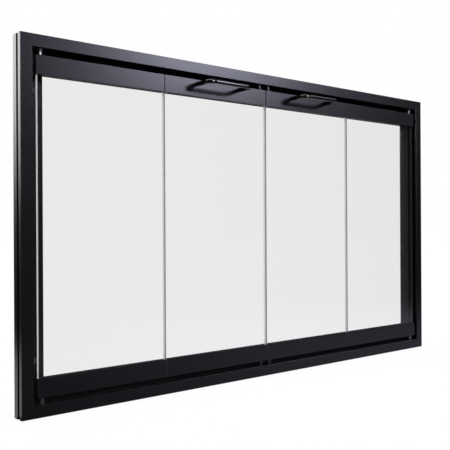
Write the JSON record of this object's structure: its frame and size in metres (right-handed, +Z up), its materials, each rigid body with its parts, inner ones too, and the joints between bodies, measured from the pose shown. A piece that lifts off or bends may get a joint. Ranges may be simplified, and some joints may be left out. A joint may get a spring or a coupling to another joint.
{
  "type": "fireplace glass door",
  "caption": "Framed bifold glass door set for a fireplace, with folding glass panels between slim top and bottom rails, pivot pins, guide tracks and pull handles.",
  "frame": {"origin": "centre of the frame's rear mounting plane, which is the centre of the four anchor holes", "axes": "+X to the right as seen from the room, +Y into the firebox, +Z up; the doors face -Y"},
  "size_m": [0.965, 0.0632, 0.559],
  "materials": {
    "frame_paint": "satin black powder coat",
    "track_paint": "satin black paint",
    "rail_paint": "semi-gloss black powder coat",
    "handle_paint": "gloss black paint",
    "hinge_paint": "black oxide and paint",
    "clear_glass": "clear tempered, ground edges",
    "gasket_rubber": "matt extruded",
    "zinc_steel": "bright zinc plate",
    "mill_aluminium": "mill",
    "dark_nylon": "moulded",
    "pale_nylon": "moulded"
  },
  "bodies": {
    "frame": {"head_member": "frame_paint", "sill_member": "frame_paint", "left_jamb": "frame_paint", "right_jamb": "frame_paint", "top_track_base": "track_paint", "top_track_walls": "track_paint", "bottom_track_base": "track_paint", "bottom_track_walls": "track_paint", "corner_keys": "mill_aluminium", "track_rivets": "mill_aluminium", "corner_key_screws": "zinc_steel", "socket_screws": "zinc_steel", "left_top_pivot_socket": "dark_nylon", "left_bottom_pivot_socket": "dark_nylon", "right_top_pivot_socket": "dark_nylon", "right_bottom_pivot_socket": "dark_nylon"},
    "left_outer_door": {"left_outer_top_rail": "rail_paint", "left_outer_bottom_rail": "rail_paint", "left_outer_glass": "clear_glass", "left_outer_gaskets": "gasket_rubber", "left_outer_pivot_blocks": "dark_nylon", "left_bottom_pivot_pin": "zinc_steel", "left_top_pivot_spring": "zinc_steel", "left_hinge_pins": "zinc_steel", "left_outer_rail_screws": "zinc_steel", "left_outer_hinge_leaves": "hinge_paint"},
    "left_inner_door": {"left_inner_top_rail": "rail_paint", "left_inner_bottom_rail": "rail_paint", "left_inner_glass": "clear_glass", "left_inner_gaskets": "gasket_rubber", "left_inner_guide_blocks": "dark_nylon", "left_guide_studs": "zinc_steel", "left_inner_rail_screws": "zinc_steel", "left_handle_screws": "zinc_steel", "left_guide_caps": "pale_nylon", "left_inner_hinge_leaves": "hinge_paint", "left_handle": "handle_paint"},
    "left_top_pivot": {"left_top_pivot_pin": "zinc_steel"},
    "right_outer_door": {"right_outer_top_rail": "rail_paint", "right_outer_bottom_rail": "rail_paint", "right_outer_glass": "clear_glass", "right_outer_gaskets": "gasket_rubber", "right_outer_pivot_blocks": "dark_nylon", "right_bottom_pivot_pin": "zinc_steel", "right_top_pivot_spring": "zinc_steel", "right_hinge_pins": "zinc_steel", "right_outer_rail_screws": "zinc_steel", "right_outer_hinge_leaves": "hinge_paint"},
    "right_inner_door": {"right_inner_top_rail": "rail_paint", "right_inner_bottom_rail": "rail_paint", "right_inner_glass": "clear_glass", "right_inner_gaskets": "gasket_rubber", "right_inner_guide_blocks": "dark_nylon", "right_guide_studs": "zinc_steel", "right_inner_rail_screws": "zinc_steel", "right_handle_screws": "zinc_steel", "right_guide_caps": "pale_nylon", "right_inner_hinge_leaves": "hinge_paint", "right_handle": "handle_paint"},
    "right_top_pivot": {"right_top_pivot_pin": "zinc_steel"}
  },
  "joints": [
    {"name": "left_pair_swing", "type": "hinge", "parent": "frame", "child": "left_outer_door", "pos_m": [-0.4478, -0.01685, 0], "axis": [0, 0, -1], "range_deg": [0, 85]},
    {"name": "left_pair_fold", "type": "hinge", "parent": "left_outer_door", "child": "left_inner_door", "pos_m": [-0.22925, -0.0073, 0], "axis": [0, 0, 1], "range_deg": [0, 170]},
    {"name": "left_pivot_press", "type": "slide", "parent": "left_outer_door", "child": "left_top_pivot", "axis": [0, 0, -1], "range_m": [0, 0.005], "stiffness_N_per_m": 150, "springref_m": -0.006, "deforming": ["left_top_pivot_spring"]},
    {"name": "right_pair_swing", "type": "hinge", "parent": "frame", "child": "right_outer_door", "pos_m": [0.4478, -0.01685, 0], "axis": [0, 0, 1], "range_deg": [0, 85]},
    {"name": "right_pair_fold", "type": "hinge", "parent": "right_outer_door", "child": "right_inner_door", "pos_m": [0.22925, -0.0073, 0], "axis": [0, 0, -1], "range_deg": [0, 170]},
    {"name": "right_pivot_press", "type": "slide", "parent": "right_outer_door", "child": "right_top_pivot", "axis": [0, 0, -1], "range_m": [0, 0.005], "stiffness_N_per_m": 150, "springref_m": -0.006, "deforming": ["right_top_pivot_spring"]}
  ],
  "couplings": [
    {"joint": "left_pair_fold", "follows": "left_pair_swing", "ratio": 2},
    {"joint": "right_pair_fold", "follows": "right_pair_swing", "ratio": 2}
  ]
}
